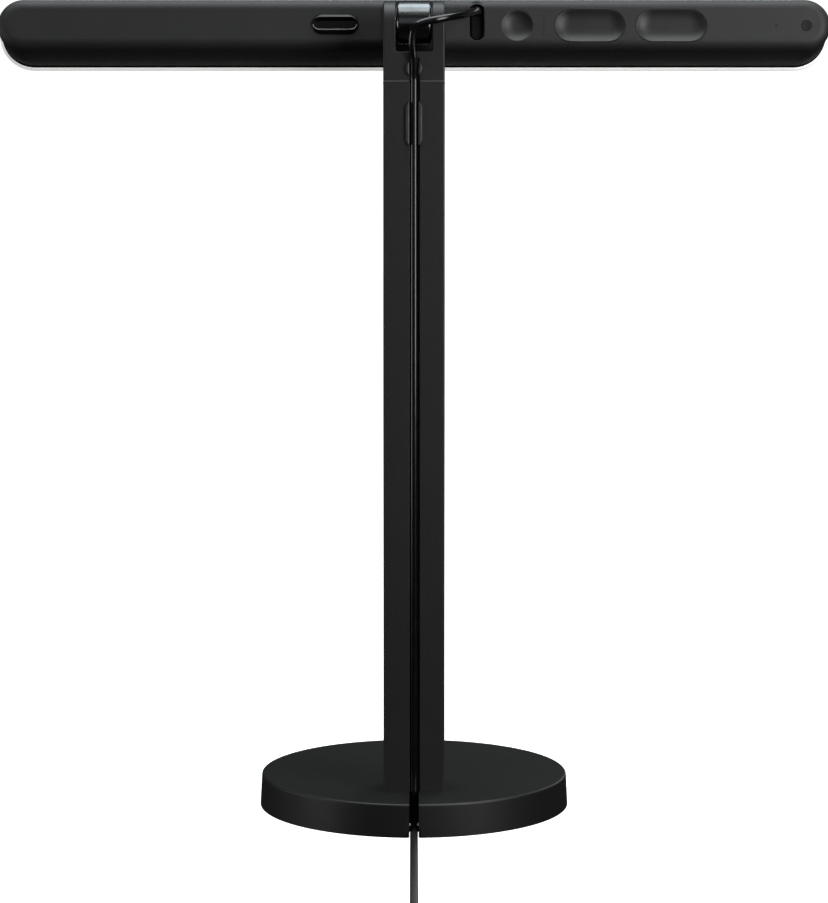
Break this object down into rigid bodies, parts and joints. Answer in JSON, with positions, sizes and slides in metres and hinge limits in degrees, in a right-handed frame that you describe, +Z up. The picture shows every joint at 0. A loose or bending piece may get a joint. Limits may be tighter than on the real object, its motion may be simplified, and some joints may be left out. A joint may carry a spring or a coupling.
{
  "type": "monitor light bar",
  "caption": "Desk-standing light bar: a long pill-shaped lamp head that tilts on a telescoping post over a round weighted base, with rear controls and a routed cable.",
  "frame": {"origin": "middle of the round base, on the table", "axes": "+Z up, +Y towards the side that the light shines on, +X along the light bar, with the power key on the +X half"},
  "size_m": [0.3972, 0.3555, 0.388],
  "materials": {
    "base_paint": "fine satin black powder coat",
    "cast_weight": "raw cast iron, dark and slightly rough",
    "plate_steel": "blackened steel sheet",
    "foot_rubber": "soft matte black rubber",
    "screw_steel": "zinc-plated steel",
    "post_core": "die-cast insert, bare metal",
    "post_paint": "satin black paint on extruded aluminium",
    "glide_plastic": "natural acetal plastic",
    "inner_tube": "dark grey anodised tube with fine draw lines",
    "spring_steel": "tempered spring steel",
    "axle_steel": "ground steel",
    "clip_plastic": "matte black moulded plastic",
    "washer_plastic": "black friction plastic",
    "hinge_metal": "gunmetal satin metal with bright bevels",
    "bush_brass": "plain brass",
    "shell_plastic": "graphite black plastic, fine moulded texture",
    "ring_plastic": "milky translucent plastic",
    "bezel_plastic": "satin black plastic",
    "diffuser_plastic": "frosted white diffuser",
    "film_plastic": "thin diffusion film",
    "white_plastic": "white reflector plastic",
    "led_board": "white solder mask on aluminium",
    "led_lens": "yellow phosphor",
    "heat_aluminium": "rolled aluminium sheet",
    "circuit_board": "green solder mask",
    "switch_plastic": "black switch housing",
    "shield_steel": "bright stamped steel",
    "window_plastic": "smoked indicator window",
    "key_plastic": "graphite black plastic, smooth dished key",
    "mode_plastic": "semi-gloss black key",
    "pair_plastic": "matte black key",
    "plug_plastic": "satin black overmould",
    "cord_jacket": "smooth black cable jacket with a soft shine",
    "tie_fabric": "woven hook-and-loop tie"
  },
  "bodies": {
    "stand_base": {"base_cover": "base_paint", "base_weight": "cast_weight", "base_plate": "plate_steel", "base_foot": "foot_rubber", "base_screws": "screw_steel", "post_foot": "post_core", "post_bolts": "screw_steel", "post_sleeve": "post_paint", "sleeve_glide": "glide_plastic", "lower_cable_clip": "clip_plastic", "cord_post_run": "cord_jacket", "cord_floor_run": "cord_jacket", "cord_coil": "cord_jacket", "cord_tail": "cord_jacket", "cable_tie": "tie_fabric", "far_plug_body": "plug_plastic", "far_plug_shell": "shield_steel"},
    "upper_post": {"inner_post": "inner_tube", "lower_glide": "glide_plastic", "friction_springs": "spring_steel", "fork_head": "post_paint", "head_pins": "screw_steel", "hinge_axle": "axle_steel", "axle_caps": "clip_plastic", "hinge_washers": "washer_plastic", "upper_cable_clip": "clip_plastic"},
    "light_bar": {"hinge_knuckle": "hinge_metal", "friction_bush": "bush_brass", "bracket_plate": "plate_steel", "bracket_screws": "screw_steel", "rear_shell": "shell_plastic", "light_ring": "ring_plastic", "front_bezel": "bezel_plastic", "front_diffuser": "diffuser_plastic", "diffusion_film": "film_plastic", "reflector_tray": "white_plastic", "front_led_board": "led_board", "front_leds": "led_lens", "rear_led_strips": "led_board", "heat_spreader": "heat_aluminium", "chassis_screws": "screw_steel", "control_board": "circuit_board", "tact_switches": "switch_plastic", "radio_module": "shield_steel", "usb_socket": "shield_steel", "status_window": "window_plastic", "lamp_plug": "plug_plastic", "lamp_plug_tongue": "shield_steel", "cord_lead": "cord_jacket"},
    "power_key": {"power_button": "key_plastic"},
    "brightness_key": {"brightness_rocker": "key_plastic"},
    "temperature_key": {"temperature_rocker": "key_plastic"},
    "mode_key": {"mode_button": "mode_plastic"},
    "pairing_key": {"pairing_button": "pair_plastic"}
  },
  "joints": [
    {"name": "height_slide", "type": "slide", "parent": "stand_base", "child": "upper_post", "axis": [0, 0, 1], "range_m": [0, 0.15], "deforming": ["cord_post_run"]},
    {"name": "bar_tilt", "type": "hinge", "parent": "upper_post", "child": "light_bar", "pos_m": [0, -0.0383, 0.3748], "axis": [1, 0, 0], "range_deg": [-28, 45], "deforming": ["cord_lead"]},
    {"name": "power_press", "type": "slide", "parent": "light_bar", "child": "power_key", "axis": [0, 0.9877, -0.1564], "range_m": [0, 0.0006], "stiffness_N_per_m": 2500},
    {"name": "brightness_tip", "type": "hinge", "parent": "light_bar", "child": "brightness_key", "pos_m": [0.0836, -0.01522, 0.37352], "axis": [0, 0.1564, 0.9877], "range_deg": [-2, 2], "stiffness_Nm_per_rad": 0.4},
    {"name": "temperature_tip", "type": "hinge", "parent": "light_bar", "child": "temperature_key", "pos_m": [0.1219, -0.01522, 0.37352], "axis": [0, 0.1564, 0.9877], "range_deg": [-2, 2], "stiffness_Nm_per_rad": 0.4},
    {"name": "mode_press", "type": "slide", "parent": "light_bar", "child": "mode_key", "axis": [0, 0.9877, -0.1564], "range_m": [0, 0.0006], "stiffness_N_per_m": 2500},
    {"name": "pairing_press", "type": "slide", "parent": "light_bar", "child": "pairing_key", "axis": [0, 0.9877, -0.1564], "range_m": [0, 0.0005], "stiffness_N_per_m": 2500}
  ]
}
